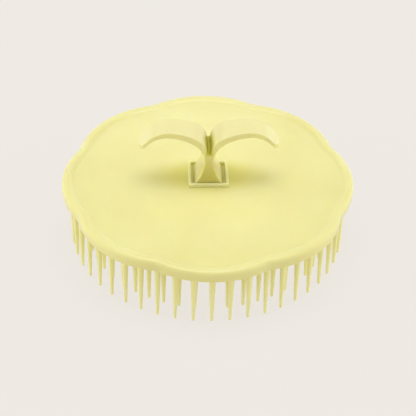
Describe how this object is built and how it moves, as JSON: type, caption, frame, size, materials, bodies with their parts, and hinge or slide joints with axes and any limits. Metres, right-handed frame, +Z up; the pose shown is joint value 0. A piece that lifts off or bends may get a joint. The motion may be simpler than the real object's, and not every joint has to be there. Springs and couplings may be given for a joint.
{
  "type": "scalp massager brush",
  "caption": "Hand-held scalp massager: a scalloped round palm plate with rings of tapered pins below and a Y-shaped handle above that the fingers hook under.",
  "frame": {"origin": "centre axis of the plate, at the level of the outer pins' tips, which the brush stands on", "axes": "+Z up through the handle, the handle's two wings reach out along +X and -X, a lobe of the plate faces -Y"},
  "size_m": [0.1198, 0.1198, 0.0545],
  "materials": {
    "plate": "pale yellow, semi-gloss, slightly translucent",
    "handle": "pale yellow, semi-gloss, slightly translucent",
    "pins": "pale yellow, semi-gloss, slightly translucent"
  },
  "bodies": {
    "root": {"palm_plate": "plate", "finger_handle": "handle", "pin_ring_outer": "pins", "pin_ring_second": "pins", "pin_ring_third": "pins", "pin_ring_fourth": "pins", "pin_ring_inner": "pins"}
  },
  "joints": []
}
